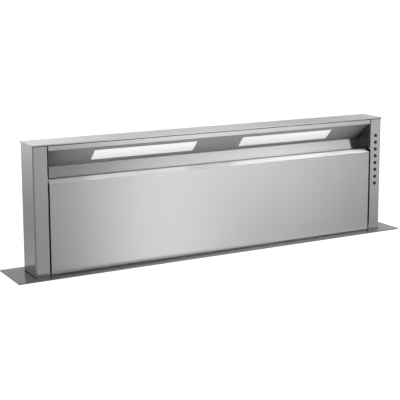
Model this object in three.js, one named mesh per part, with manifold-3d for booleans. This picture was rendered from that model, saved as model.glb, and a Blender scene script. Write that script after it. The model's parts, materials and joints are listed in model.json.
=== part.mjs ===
// Retractable worktop downdraft vent, 1200 mm class, drawn raised.
// Millimetres, +Z up. The working frame has X across the width, Y = 0 on the front face of the
// rising tower and Z = 0 on the worktop. The outer group shifts it so that the origin is the
// middle of the footprint at the feet.
import * as THREE from 'three';
import { mergeVertices } from 'three/addons/utils/BufferGeometryUtils.js';
import Module from 'manifold-3d';

const wasm = await Module();
wasm.setup();

// ---------------------------------------------------------------- driving dimensions
const FLANGE_HALF = 600, FLANGE_Y0 = -27, FLANGE_Y1 = 120, FLANGE_T = 3, SHEET_T = 1.5;
const SLOT_HALF = 548.2, SLOT_Y0 = -1.6, SLOT_Y1 = 88.6;
const TOWER_HALF = 546, TOWER_D = 87, TOWER_TOP = 342, TOWER_BOTTOM = -110;
const PLATE_T = 3, PLATE_OVER = 2.6, SHADOW_GAP = 1.2;
const POST_W = 38.5, POST_WALL = 2, POST_R = 3, POST_RIN = 0.8, POST_TOP = 337.5;
const POST_IN = TOWER_HALF - POST_W;                 // 507.5, inner face of each post
const FASCIA_HALF = 504.7, FASCIA_Z0 = 325.2, SKIN = 1.5;
const CHEEK_X = 503, CHEEK_T = 1.2;
const SLOPE_Y0 = 1.8, SLOPE_Z0 = 324.3, SLOPE_Y1 = 50, SLOPE_Z1 = 276.1;   // 45 degree light panel
const WIN_X0 = 72.5, WIN_X1 = 373, WIN_U0 = 13, WIN_U1 = 54;              // light windows
const DOOR_HALF = 503.2, DOOR_Z0 = 6.3, DOOR_Z1 = 241, BEVEL_Y = 15, BEVEL_Z = 249.5, DOOR_T = 1.2;
const HINGE_Y = 4, HINGE_Z = 14.3, PIN_R = 2;
const BUTTON_X = 526.7, BUTTON_Z0 = 289, BUTTON_STEP = 20.6, BUTTON_N = 8, BUTTON_R = 4.6, BUTTON_HOLE_R = 5;
const SCREW_X = 526.75, SCREW_Y = 43.5, SCREW_R = 6, SCREW_TOP = -66, SHAFT_Z = -534, SHAFT_R = 5;
const BODY_HALF = 574, BODY_Y0 = -9.5, BODY_Y1 = 102.5, BODY_T = 1.2, BODY_Z0 = -580;
const DUCT_HALF = 111, DUCT_Z0 = -560, DUCT_Z1 = -471, DUCT_WALL = 1.5, DUCT_END = 140.5;
const FOOT_Z = -600, FOOT_Y0 = -53.5, FOOT_Y1 = 146.5;

// ---------------------------------------------------------------- finishes
const mat = (color, roughness, metalness, extra = {}) =>
  new THREE.MeshStandardMaterial({ color, roughness, metalness, ...extra });
const steel = mat(0xb9bcbb, 0.34, 0.9);
const polished = mat(0xd2d4d4, 0.18, 0.95);
const galvanised = mat(0xa3a7a9, 0.5, 0.7);
const dark = mat(0x2b2d2f, 0.6, 0.1);
const black = mat(0x161718, 0.75, 0.0);
const rubber = mat(0x1c1c1d, 0.9, 0.0);
const frosted = mat(0xf6f7f7, 0.45, 0.0, { transparent: true, opacity: 0.9 });
const board = mat(0x2f5a3c, 0.6, 0.0);
const castAlu = mat(0x9a9d9f, 0.55, 0.6);
const bronze = mat(0xa8844a, 0.4, 0.8);
const filterAlu = mat(0xb4b6b6, 0.4, 0.8);

// ---------------------------------------------------------------- shape helpers
const box = (x0, x1, y0, y1, z0, z1) =>
  new THREE.BoxGeometry(x1 - x0, y1 - y0, z1 - z0).translate((x0 + x1) / 2, (y0 + y1) / 2, (z0 + z1) / 2);

function outline(points, holes = []) {
  const s = new THREE.Shape(points.map(([a, b]) => new THREE.Vector2(a, b)));
  for (const h of holes) s.holes.push(new THREE.Path(h.map(([a, b]) => new THREE.Vector2(a, b))));
  return s;
}
const rect = (a0, a1, b0, b1) => [[a0, b0], [a1, b0], [a1, b1], [a0, b1]];
// the same with round corners, n steps each: radius r at its a1 end and r0 at its a0 end
function roundRect(a0, a1, b0, b1, r, r0 = r, n = 5) {
  const corners = [[a1 - r, b0 + r, -90, r], [a1 - r, b1 - r, 0, r], [a0 + r0, b1 - r0, 90, r0], [a0 + r0, b0 + r0, 180, r0]];
  return corners.flatMap(([ca, cb, start, rr]) => [...Array(n + 1).keys()].map((k) => {
    const t = (start + 90 * k / n) * Math.PI / 180;
    return [ca + rr * Math.cos(t), cb + rr * Math.sin(t)];
  }));
}
// outline in X, Y raised from z0 to z1
const prismZ = (points, z0, z1, holes) =>
  new THREE.ExtrudeGeometry(outline(points, holes), { depth: z1 - z0, bevelEnabled: false }).translate(0, 0, z0);
// outline in Y, Z run from x0 to x1
function prismX(points, x0, x1, holes) {
  const g = new THREE.ExtrudeGeometry(outline(points, holes), { depth: x1 - x0, bevelEnabled: false });
  g.translate(0, 0, x0);
  return g.applyMatrix4(new THREE.Matrix4().makeBasis(
    new THREE.Vector3(0, 1, 0), new THREE.Vector3(0, 0, 1), new THREE.Vector3(1, 0, 0)));
}
// outline in X, Z run from y0 to y1
function prismY(points, y0, y1, holes) {
  const g = new THREE.ExtrudeGeometry(outline(points, holes), { depth: y1 - y0, bevelEnabled: false });
  g.applyMatrix4(new THREE.Matrix4().makeBasis(
    new THREE.Vector3(1, 0, 0), new THREE.Vector3(0, 0, 1), new THREE.Vector3(0, -1, 0)));
  return g.translate(0, y1, 0);
}
const rodZ = (x, y, z0, z1, r, n = 24, r2 = r) =>
  new THREE.CylinderGeometry(r2, r, z1 - z0, n).rotateX(Math.PI / 2).translate(x, y, (z0 + z1) / 2);
const rodX = (x0, x1, y, z, r, n = 24) =>
  new THREE.CylinderGeometry(r, r, x1 - x0, n).rotateZ(Math.PI / 2).translate((x0 + x1) / 2, y, z);
const rodY = (x, y0, y1, z, r, n = 24) =>
  new THREE.CylinderGeometry(r, r, y1 - y0, n).translate(x, (y0 + y1) / 2, z);

function toSolid(geometry) {
  const g = geometry.clone();
  g.deleteAttribute('normal');
  g.deleteAttribute('uv');
  const m = mergeVertices(g, 1e-4);
  return new wasm.Manifold(new wasm.Mesh({
    numProp: 3,
    vertProperties: new Float32Array(m.attributes.position.array),
    triVerts: new Uint32Array(m.index.array),
  }));
}
function toGeometry(solid) {
  const m = solid.getMesh();
  const g = new THREE.BufferGeometry();
  g.setAttribute('position', new THREE.BufferAttribute(new Float32Array(m.vertProperties), 3));
  g.setIndex(new THREE.BufferAttribute(new Uint32Array(m.triVerts), 1));
  g.computeVertexNormals();
  return g;
}
const join = (...parts) => toGeometry(parts.map(toSolid).reduce((a, b) => a.add(b)));
const cut = (base, ...tools) => toGeometry(tools.map(toSolid).reduce((a, b) => a.subtract(b), toSolid(base)));

const vent = new THREE.Group();
vent.position.set(0, -(TOWER_D + 6) / 2, -FOOT_Z);          // origin at the feet, middle of the footprint
const housing = new THREE.Group(), tower = new THREE.Group(), door = new THREE.Group(), drive = new THREE.Group();
vent.add(housing, tower, door, drive);
function add(group, name, geometry, material) {
  const m = new THREE.Mesh(geometry, material);
  m.name = name;
  group.add(m);
  return m;
}
const sides = [['left', -1], ['right', 1]];
const span = (s, a, b) => (s > 0 ? [a, b] : [-b, -a]);      // an X interval mirrored to the left side

// ================================================================ fixed housing
// worktop flange: folded sheet, its rim turned down to the worktop, with the tower's slot
add(housing, 'worktop_flange', cut(
  box(-FLANGE_HALF, FLANGE_HALF, FLANGE_Y0, FLANGE_Y1, 0, FLANGE_T),
  box(-FLANGE_HALF + SHEET_T, FLANGE_HALF - SHEET_T, FLANGE_Y0 + SHEET_T, FLANGE_Y1 - SHEET_T, -1, FLANGE_T - SHEET_T),
  box(-SLOT_HALF, SLOT_HALF, SLOT_Y0, SLOT_Y1, -1, FLANGE_T + 1)), steel);

// sealing tape under the flange, resting on the worktop round the cut-out
add(housing, 'rim_gasket', prismZ(
  rect(-598.2, 598.2, -25.2, 118.2), 0, 1.2, [rect(-577, 577, -12, 105)]), rubber);

// wiper seal round the slot, just under the flange
add(housing, 'slot_seal', prismZ(
  rect(-572, 572, -7.9, 100.9), -4.5, 1.2, [rect(-547.4, 547.4, -0.9, 87.9)]), rubber);

// lower body of folded galvanised sheet
const ductHole = rect(-DUCT_HALF + DUCT_WALL, DUCT_HALF - DUCT_WALL, DUCT_Z0 + DUCT_WALL, DUCT_Z1 - DUCT_WALL);
const wall = (y0, y1) => prismY(rect(-BODY_HALF, BODY_HALF, BODY_Z0, 1.2), y0, y1, [ductHole]);
add(housing, 'housing_front', join(
  wall(BODY_Y0, BODY_Y0 + BODY_T),
  // two pressed stiffening ribs
  prismX([[-12.5, -150], [-9, -154], [-9, -126], [-12.5, -130]], -540, 540),
  prismX([[-12.5, -440], [-9, -444], [-9, -436], [-12.5, -437]], -540, 280)), galvanised);
add(housing, 'housing_rear', join(
  wall(BODY_Y1 - BODY_T, BODY_Y1),
  prismX([[105.5, -150], [102, -154], [102, -126], [105.5, -130]], -540, 540),
  prismX([[105.5, -330], [102, -334], [102, -306], [105.5, -310]], -540, 540)), galvanised);
for (const [side, s] of sides) {
  const [a, b] = span(s, BODY_HALF - BODY_T, BODY_HALF);
  add(housing, `housing_${side}_side`, box(a, b, BODY_Y0 + BODY_T + 0.3, BODY_Y1 - BODY_T - 0.3, BODY_Z0, 1.2), galvanised);
}
add(housing, 'housing_floor', box(-572.5, 572.5, -8, 101, BODY_Z0, BODY_Z0 + BODY_T), galvanised);

// guide rails: C channels on the end walls, and their lips
for (const [side, s] of sides) {
  const [a, b] = span(s, 560.5, 572.5);
  const [c, d] = span(s, 560, 570.5);
  add(housing, `guide_rail_${side}`, cut(box(a, b, 33.5, 53.5, -575, -12), box(c, d, 35.5, 51.5, -576, -11)), galvanised);
}

// lift drive: motor, its gear case on the cross shaft, and a bevel gear case under each lift screw
const GEARBOX_X = -255;
add(housing, 'drive_motor', join(
  rodZ(GEARBOX_X, SCREW_Y, -507.7, -502, 24, 24),
  rodZ(GEARBOX_X, SCREW_Y, -503, -458, 26, 28),
  rodZ(GEARBOX_X, SCREW_Y, -459, -453, 21, 24),
  rodZ(GEARBOX_X, SCREW_Y, -454, -449, 7, 16)), dark);
add(housing, 'motor_gearbox', cut(
  join(box(GEARBOX_X - 32, GEARBOX_X + 32, 18, 69, -574, -508), box(GEARBOX_X - 48, GEARBOX_X + 48, 14, 73, -578.5, -573)),
  rodX(GEARBOX_X - 60, GEARBOX_X + 60, SCREW_Y, SHAFT_Z, SHAFT_R + 0.6, 24)), castAlu);
for (const [side, s] of sides) {
  const [a, b] = span(s, 505, 549);
  const [c, d] = span(s, 500, 520);
  add(housing, `corner_gearbox_${side}`, cut(
    join(box(a, b, 22, 65, -574, -511), box(a + 3, b - 3, 25, 62, -512, -508), box(a - 6, b + 6, 18, 69, -578.5, -573)),
    rodX(c, d, SCREW_Y, SHAFT_Z, SHAFT_R + 0.6, 24),
    rodZ(s * SCREW_X, SCREW_Y, -522.5, -500, 4.5, 24)), castAlu);
}

// electrics: control box with its lid on the front, and the gland for the supply
add(housing, 'control_box', join(
  box(292, 488, -11.6, -9.8, -428, -292),
  box(300, 480, -46, -11.5, -420, -300),
  box(297, 483, -49, -45.9, -423, -297)), dark);
add(housing, 'cable_gland', new THREE.LatheGeometry([
  [4.2, -451], [6.8, -451], [8.6, -444], [8.6, -436], [11.5, -436], [11.5, -428.5], [8, -428.5], [8, -423.3], [4.2, -423.3], [4.2, -451],
].map(([r, z]) => new THREE.Vector2(r, z)), 12).rotateX(Math.PI / 2).translate(440, -28, 0), black);

// outlet: flat duct collar on the rear, blanking cover on the spare hole at the front
add(housing, 'duct_collar', cut(
  join(box(-125, 125, 102.8, 104.3, -574, -457), box(-DUCT_HALF, DUCT_HALF, 104, DUCT_END, DUCT_Z0, DUCT_Z1)),
  box(-DUCT_HALF + DUCT_WALL, DUCT_HALF - DUCT_WALL, 100, DUCT_END + 1, DUCT_Z0 + DUCT_WALL, DUCT_Z1 - DUCT_WALL)), galvanised);
add(housing, 'outlet_cover', join(
  box(-125, 125, -11.3, -9.8, -574, -457), box(-104, 104, -13.5, -11, -553, -478)), galvanised);

// feet: a cross bracket with two levelling pads at each end
for (const [side, s] of sides) {
  const [a, b] = span(s, 500, 540);
  add(housing, `foot_${side}`, join(
    box(a, b, FOOT_Y0, FOOT_Y1, -583.3, -580.3),
    rodZ(s * 520, FOOT_Y0 + 16, -595, -583, 5, 16), rodZ(s * 520, FOOT_Y1 - 16, -595, -583, 5, 16),
    rodZ(s * 520, FOOT_Y0 + 16, FOOT_Z, -594, 15, 24), rodZ(s * 520, FOOT_Y1 - 16, FOOT_Z, -594, 15, 24)), dark);
}

// worktop clamps: an angle on each end wall with a screw that presses up on the worktop
for (const [side, s] of sides) {
  const [a, b] = span(s, 574.3, 576.3);
  const [c, d] = span(s, 574.3, 599);
  add(housing, `worktop_clamp_${side}`, join(
    box(a, b, 30, 64, -120, -50), box(c, d, 30, 64, -64, -62),
    rodZ(s * 588, 47, -84, -44, 3, 12), rodZ(s * 588, 47, -46, -42, 8, 16)), galvanised);
}

// ================================================================ drive train that turns
for (const [side, s] of sides) {
  add(drive, `lift_screw_${side}`, join(
    rodZ(s * SCREW_X, SCREW_Y, -505, SCREW_TOP, SCREW_R, 24),
    rodZ(s * SCREW_X, SCREW_Y, -507.6, -503, 9, 24),
    rodZ(s * SCREW_X, SCREW_Y, -521, -507, 4, 24)), castAlu);
}
add(drive, 'cross_shaft', rodX(-518, 518, SCREW_Y, SHAFT_Z, SHAFT_R, 24), castAlu);

// ================================================================ rising tower
// top plate with a shadow gap: the spacer stands in from the faces below, and a socket drops into each post
add(tower, 'top_plate', join(
  box(-TOWER_HALF - PLATE_OVER, TOWER_HALF + PLATE_OVER, -PLATE_OVER + 0.1, TOWER_D + PLATE_OVER - 0.1, TOWER_TOP - PLATE_T, TOWER_TOP),
  box(-TOWER_HALF + 6, TOWER_HALF - 6, 6, TOWER_D - 6, TOWER_TOP - PLATE_T - SHADOW_GAP, TOWER_TOP - PLATE_T + 0.5),
  // the gap is closed flush at the two ends
  ...sides.map(([, s]) => cut(
    prismZ(roundRect(-TOWER_HALF, TOWER_HALF, 0, TOWER_D, POST_R), TOWER_TOP - PLATE_T - SHADOW_GAP, TOWER_TOP - PLATE_T + 0.5),
    box(...span(s, -TOWER_HALF - 1, TOWER_HALF - 1.5), -1, TOWER_D + 1, POST_TOP - 1, TOWER_TOP))),
  ...sides.map(([, s]) => {
    const [a, b] = span(s, POST_IN + POST_WALL + 0.8, TOWER_HALF - POST_WALL - 0.9);
    return cut(box(a, b, 2.8, TOWER_D - 2.8, 318, TOWER_TOP - PLATE_T - SHADOW_GAP + 0.2),
      box(a + 2, b - 2, 4.8, TOWER_D - 4.8, 317, 335));
  })), steel);

// posts: rectangular tubes with rounded corners, the right one drilled for the buttons, both for the door's pins
const buttonZ = [...Array(BUTTON_N).keys()].map((i) => BUTTON_Z0 - BUTTON_STEP * i);
for (const [side, s] of sides) {
  const [a, b] = span(s, POST_IN, TOWER_HALF);
  const [c, d] = span(s, POST_IN + POST_WALL, TOWER_HALF - POST_WALL);
  const [e, f] = span(s, POST_IN - 1, POST_IN + 8);
  const holes = s > 0 ? buttonZ.map((z) => rodY(BUTTON_X, -1, 3, z, BUTTON_HOLE_R, 20)) : [];
  const [r0, r1] = s > 0 ? [POST_RIN, POST_R] : [POST_R, POST_RIN];   // crisp towards the door, rounder outside
  add(tower, `${side}_post`, cut(
    prismZ(roundRect(a, b, 0, TOWER_D, r1, r0), TOWER_BOTTOM, POST_TOP),
    prismZ(roundRect(c, d, POST_WALL, TOWER_D - POST_WALL, POST_R - POST_WALL), TOWER_BOTTOM - 1, POST_TOP + 1),
    rodX(e, f, HINGE_Y, HINGE_Z, PIN_R + 0.4, 16), ...holes), steel);
}

// fascia strip under the top plate, folded back along its top
add(tower, 'fascia', prismX(
  [[0, FASCIA_Z0], [SKIN, FASCIA_Z0], [SKIN, POST_TOP - SKIN], [40, POST_TOP - SKIN], [40, POST_TOP], [0, POST_TOP]],
  -FASCIA_HALF, FASCIA_HALF), steel);

// sloping light panel with its two windows. u runs down the slope, n out of its back
const slopeDir = new THREE.Vector3(0, Math.SQRT1_2, -Math.SQRT1_2), slopeBack = new THREE.Vector3(0, Math.SQRT1_2, Math.SQRT1_2);
const slopeLength = Math.hypot(SLOPE_Y1 - SLOPE_Y0, SLOPE_Z0 - SLOPE_Z1);
function slopeBox(x0, x1, u0, u1, n0, n1) {
  const g = new THREE.BoxGeometry(x1 - x0, u1 - u0, n1 - n0).translate((x0 + x1) / 2, (u0 + u1) / 2, (n0 + n1) / 2);
  g.applyMatrix4(new THREE.Matrix4().makeBasis(new THREE.Vector3(1, 0, 0), slopeDir, slopeBack));
  return g.translate(0, SLOPE_Y0, SLOPE_Z0);
}
add(tower, 'light_panel', cut(
  slopeBox(-CHEEK_X + 0.3, CHEEK_X - 0.3, 0, slopeLength, 0, SKIN),
  ...sides.map(([, s]) => { const [a, b] = span(s, WIN_X0, WIN_X1); return slopeBox(a, b, WIN_U0, WIN_U1, -3, 5); })), steel);
for (const [side, s] of sides) {
  const [a, b] = span(s, WIN_X0, WIN_X1);
  add(tower, `light_lens_${side}`, join(
    slopeBox(a + 0.3, b - 0.3, WIN_U0 + 0.3, WIN_U1 - 0.3, 0.2, 2.2),
    slopeBox(a - 4, b + 4, WIN_U0 - 4, WIN_U1 + 4, SKIN + 0.3, 3.2)), frosted);
  const chips = [...Array(8).keys()].map((i) => slopeBox(a + 18 + i * 37, a + 23 + i * 37, 31, 36, 9.8, 11.5));
  add(tower, `led_strip_${side}`, join(
    cut(slopeBox(a - 3, b + 3, WIN_U0 - 3, WIN_U1 + 3, 3.5, 14), slopeBox(a - 1.8, b + 1.8, WIN_U0 - 1.8, WIN_U1 + 1.8, 3, 12.8)),
    slopeBox(a + 5, b - 5, 28, 39, 11.3, 13), ...chips), board);
}

// wall behind the intake slot: it leans back at its top, is folded back below the slot and carries on down as the filter carrier
const filterX = [-334, 0, 334], FILTER_W = 324, FILTER_Z0 = 24, FILTER_Z1 = 212, LEAN = 6.5;
const intakeWall = [[SLOPE_Y1, SLOPE_Z1 - 0.5], [SLOPE_Y1 - LEAN, 241], [SLOPE_Y1 - LEAN, 234], [SLOPE_Y1, 226], [SLOPE_Y1, -60]];
add(tower, 'filter_carrier', cut(
  join(prismX([...intakeWall, ...intakeWall.map(([y, z]) => [y + BODY_T, z]).reverse()].reverse(), -CHEEK_X + 0.3, CHEEK_X - 0.3),
    box(-480, 480, 20, SLOPE_Y1 + 0.2, -3.6, -2.4)),
  ...filterX.map((x) => box(x - FILTER_W / 2 + 12, x + FILTER_W / 2 - 12, SLOPE_Y1 - 1, SLOPE_Y1 + 3, FILTER_Z0 + 14, FILTER_Z1 - 12))), steel);
add(tower, 'rear_panel', box(-POST_IN + 0.3, POST_IN - 0.3, TOWER_D - SKIN, TOWER_D, TOWER_BOTTOM, POST_TOP), steel);
for (const [side, s] of sides) {
  const [a, b] = span(s, CHEEK_X, CHEEK_X + CHEEK_T);
  add(tower, `inner_cheek_${side}`, prismX(
    [[1.8, 252.5], [1.8, 324.9], [85.2, 324.9], [85.2, -60], [16.5, -60], [16.5, 252.5]], a, b), steel);
}
// sill under the door: sheet folded back at its top and bottom edges
add(tower, 'lower_sill', prismX(
  [[1.5, TOWER_BOTTOM], [16, TOWER_BOTTOM], [16, TOWER_BOTTOM + 1.2], [2.7, TOWER_BOTTOM + 1.2], [2.7, 3], [13, 3], [13, 4.2], [1.5, 4.2]],
  -POST_IN + 0.3, POST_IN - 0.3), steel);
// drip tray on the carrier's ledge; its back edge is folded in, and the filters stand and drain on that fold
add(tower, 'drip_tray', cut(
  box(-502, 502, 18.5, 49.6, -2, 23.5),
  box(-500.8, 500.8, 19.7, 48.4, -0.8, 22.3), box(-500.8, 500.8, 19.7, 40.2, 20, 24)), steel);
filterX.forEach((x, i) => add(tower, `grease_filter_${i + 1}`, cut(
  box(x - FILTER_W / 2, x + FILTER_W / 2, 40.6, 49.6, FILTER_Z0, FILTER_Z1),
  box(x - FILTER_W / 2 + 11, x + FILTER_W / 2 - 11, 40, 42.1, FILTER_Z0 + 11, FILTER_Z1 - 11),
  box(x - FILTER_W / 2 + 11, x + FILTER_W / 2 - 11, 48.1, 50, FILTER_Z0 + 11, FILTER_Z1 - 11)), filterAlu));

// lift nuts in the feet of the posts, guide shoes on their outer faces
for (const [side, s] of sides) {
  const [a, b] = span(s, POST_IN + POST_WALL + 0.4, TOWER_HALF - POST_WALL - 0.4);
  add(tower, `lift_nut_${side}`, cut(
    box(a, b, 24, 63, -109, -80), rodZ(s * SCREW_X, SCREW_Y, -110, -79, SCREW_R + 0.6, 24)), bronze);
  const [c, d] = span(s, TOWER_HALF + 0.3, 570);
  const [e, f] = span(s, TOWER_HALF + 0.3, 551);
  add(tower, `guide_shoe_${side}`, join(box(c, d, 36.2, 50.8, -105, -22), box(e, f, 24, 63, -108, -18)), black);
}

// switch board behind the buttons
add(tower, 'button_board', join(
  box(POST_IN + POST_WALL + 0.4, TOWER_HALF - POST_WALL - 0.4, 9, 10.6, 130, 304),
  ...buttonZ.map((z) => box(BUTTON_X - 3, BUTTON_X + 3, 6.9, 9.2, z - 3, z + 3))), board);

// ================================================================ buttons
buttonZ.forEach((z, i) => add(tower, `button_${i + 1}`, new THREE.LatheGeometry([
  // domed front just proud of the post, side, retaining flange behind the post's wall, stem
  [0, -0.6], [1.3, -0.48], [2.5, -0.1], [3.5, 0.5], [4.25, 1.2], [BUTTON_R, 1.9], [BUTTON_R, 2.4], [6.2, 2.4], [6.2, 3.2], [2.2, 3.2], [2.2, 5.2], [0, 5.2],
].map(([r, y]) => new THREE.Vector2(r, y)), 20).translate(BUTTON_X, 0, z), polished));

// ================================================================ door, hinged along its bottom edge
const bevelIn = (y) => DOOR_Z1 - 1.379 + y * (BEVEL_Z - DOOR_Z1) / BEVEL_Y;
const sheetProfile = [[12, DOOR_Z0], [12, DOOR_Z0 + DOOR_T], [DOOR_T, DOOR_Z0 + DOOR_T], [DOOR_T, bevelIn(DOOR_T)],
  [BEVEL_Y - DOOR_T, bevelIn(BEVEL_Y - DOOR_T)], [BEVEL_Y - DOOR_T, 238.5], [BEVEL_Y, 238.5], [BEVEL_Y, BEVEL_Z], [0, DOOR_Z1], [0, DOOR_Z0]];
const endProfile = [[0, DOOR_Z0], [12, DOOR_Z0], [BEVEL_Y, 14], [BEVEL_Y, BEVEL_Z], [0, DOOR_Z1]];
add(door, 'door_panel', cut(join(
  prismX(sheetProfile, -DOOR_HALF, DOOR_HALF),
  ...sides.map(([, s]) => prismX(endProfile, ...span(s, DOOR_HALF - DOOR_T, DOOR_HALF)))),
  ...sides.map(([, s]) => rodX(...span(s, DOOR_HALF - 3, DOOR_HALF + 1), HINGE_Y, HINGE_Z, PIN_R + 0.35, 16))), steel);
add(door, 'door_liner', box(-DOOR_HALF + 1.5, DOOR_HALF - 1.5, 12.4, 13.6, 7.8, 238.1), steel);
for (const [side, s] of sides) {
  add(door, `hinge_pin_${side}`, join(
    rodX(...span(s, 498.5, 514), HINGE_Y, HINGE_Z, PIN_R, 16),
    rodX(...span(s, DOOR_HALF + 0.4, POST_IN - 0.4), HINGE_Y, HINGE_Z, 3.6, 16)), castAlu);
}

export default vent;
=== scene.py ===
"""Retractable worktop downdraft vent, raised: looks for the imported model."""
import json
import math

import bmesh
import bpy
from mathutils import Matrix, Vector


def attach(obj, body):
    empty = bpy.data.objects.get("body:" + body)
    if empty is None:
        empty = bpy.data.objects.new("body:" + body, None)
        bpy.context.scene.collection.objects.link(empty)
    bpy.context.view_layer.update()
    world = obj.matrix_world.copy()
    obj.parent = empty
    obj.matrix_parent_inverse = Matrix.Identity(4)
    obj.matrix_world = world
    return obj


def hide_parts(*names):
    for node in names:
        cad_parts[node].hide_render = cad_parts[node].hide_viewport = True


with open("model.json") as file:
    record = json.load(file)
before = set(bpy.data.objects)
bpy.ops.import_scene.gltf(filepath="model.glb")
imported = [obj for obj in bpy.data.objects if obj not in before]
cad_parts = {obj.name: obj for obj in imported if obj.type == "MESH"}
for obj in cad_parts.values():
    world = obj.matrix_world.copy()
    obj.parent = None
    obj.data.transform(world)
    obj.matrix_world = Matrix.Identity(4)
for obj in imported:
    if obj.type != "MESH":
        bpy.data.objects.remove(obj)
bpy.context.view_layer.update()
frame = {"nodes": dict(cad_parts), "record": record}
NODES = frame["nodes"]

TY, TZ = -0.0465, 0.600          # the tower's front face and the worktop plane, in the row frame


def P(x, y, z):
    """Millimetres from the tower's front face and the worktop, to metres in the row frame."""
    return Vector((x / 1000, y / 1000 + TY, z / 1000 + TZ))


# ------------------------------------------------------------------ camera
CAM_YAW, CAM_PITCH, CAM_ROLL = math.radians(29.04), math.radians(9.26), math.radians(-0.177)
cam_data = bpy.data.cameras.new("camera")
cam_data.sensor_width = 36.0
cam_data.lens = 93.14
cam_data.shift_y = -0.12
cam_data.clip_start, cam_data.clip_end = 0.05, 500
cam = bpy.data.objects.new("camera", cam_data)
bpy.context.scene.collection.objects.link(cam)
fw = Vector((math.sin(CAM_YAW) * math.cos(CAM_PITCH), math.cos(CAM_YAW) * math.cos(CAM_PITCH), -math.sin(CAM_PITCH)))
rt = Vector((math.cos(CAM_YAW), -math.sin(CAM_YAW), 0))
up = rt.cross(fw)
rt2 = rt * math.cos(CAM_ROLL) + up * math.sin(CAM_ROLL)
up2 = up * math.cos(CAM_ROLL) - rt * math.sin(CAM_ROLL)
m = Matrix((rt2, up2, -fw)).transposed().to_4x4()
m.translation = P(-1410, -2411, 737)
cam.matrix_world = m
bpy.context.scene.camera = cam
bpy.context.scene.view_settings.view_transform = "Standard"
bpy.context.scene.view_settings.look = "None"


# ------------------------------------------------------------------ node helpers
class Tree:
    """A small helper over a material's or world's node tree."""

    def __init__(self, tree):
        self.t = tree
        tree.nodes.clear()

    def n(self, kind, inputs=None, **props):
        node = self.t.nodes.new(kind)
        for k, v in props.items():
            setattr(node, k, v)
        for k, v in (inputs or {}).items():
            sock = node.inputs[k]
            if hasattr(v, "links"):
                self.t.links.new(v, sock)
            else:
                sock.default_value = v
        return node

    def link(self, a, b):
        self.t.links.new(a, b)

    def math(self, op, a, b=None, c=None, clamp=False):
        node = self.t.nodes.new("ShaderNodeMath")
        node.operation = op
        node.use_clamp = clamp
        for i, v in enumerate((a, b, c)):
            if v is None:
                continue
            if hasattr(v, "links"):
                self.t.links.new(v, node.inputs[i])
            else:
                node.inputs[i].default_value = v
        return node.outputs[0]

    def ramp(self, fac, stops, interp="LINEAR"):
        node = self.t.nodes.new("ShaderNodeValToRGB")
        node.color_ramp.interpolation = interp
        els = node.color_ramp.elements
        while len(els) > 1:
            els.remove(els[-1])
        for i, (pos, col) in enumerate(stops):
            e = els[0] if i == 0 else els.new(pos)
            e.position = pos
            e.color = (*col, 1) if len(col) == 3 else col
        self.t.links.new(fac, node.inputs[0])
        return node.outputs[0]


def grey(v):
    return (v, v, v)


def stretched(t, scale, detail=3.0, rough=0.55, dist=0.0):
    """Noise in object space, squeezed by a scale per axis."""
    tc = t.n("ShaderNodeTexCoord")
    mp = t.n("ShaderNodeMapping", {"Vector": tc.outputs["Object"], "Scale": scale})
    nz = t.n("ShaderNodeTexNoise", {"Vector": mp.outputs[0], "Scale": 1.0, "Detail": detail, "Roughness": rough, "Distortion": dist})
    return nz.outputs[0]


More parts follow.
